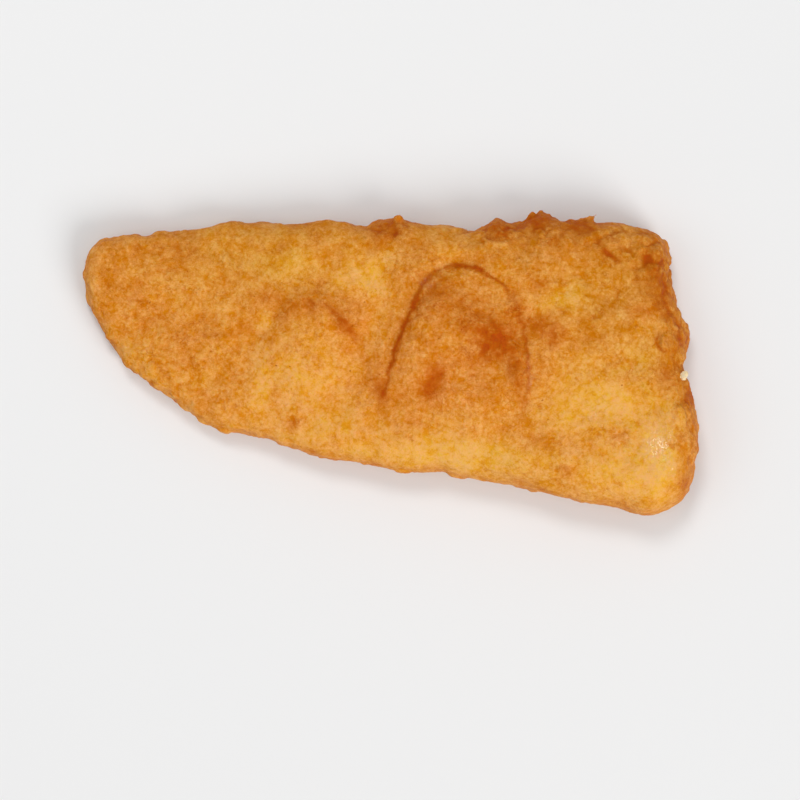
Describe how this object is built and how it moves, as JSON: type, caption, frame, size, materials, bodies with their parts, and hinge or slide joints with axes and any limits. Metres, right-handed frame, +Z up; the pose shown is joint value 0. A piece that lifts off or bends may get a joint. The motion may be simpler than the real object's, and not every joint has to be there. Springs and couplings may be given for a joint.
{
  "type": "fried fish fillet",
  "caption": "Battered, deep-fried fish fillet with a folded, uneven golden crust, thin at the tail, thick at the head end, lying flat.",
  "frame": {"origin": "middle of the length and width of the fillet, on the surface that it rests on", "axes": "+X along the fillet towards its thick head end, +Y towards its thin back edge, +Z up"},
  "size_m": [0.1802, 0.0886, 0.023],
  "materials": {
    "crust": "fried batter crust, slightly oily"
  },
  "bodies": {
    "root": {"fillet": "crust"}
  },
  "joints": []
}
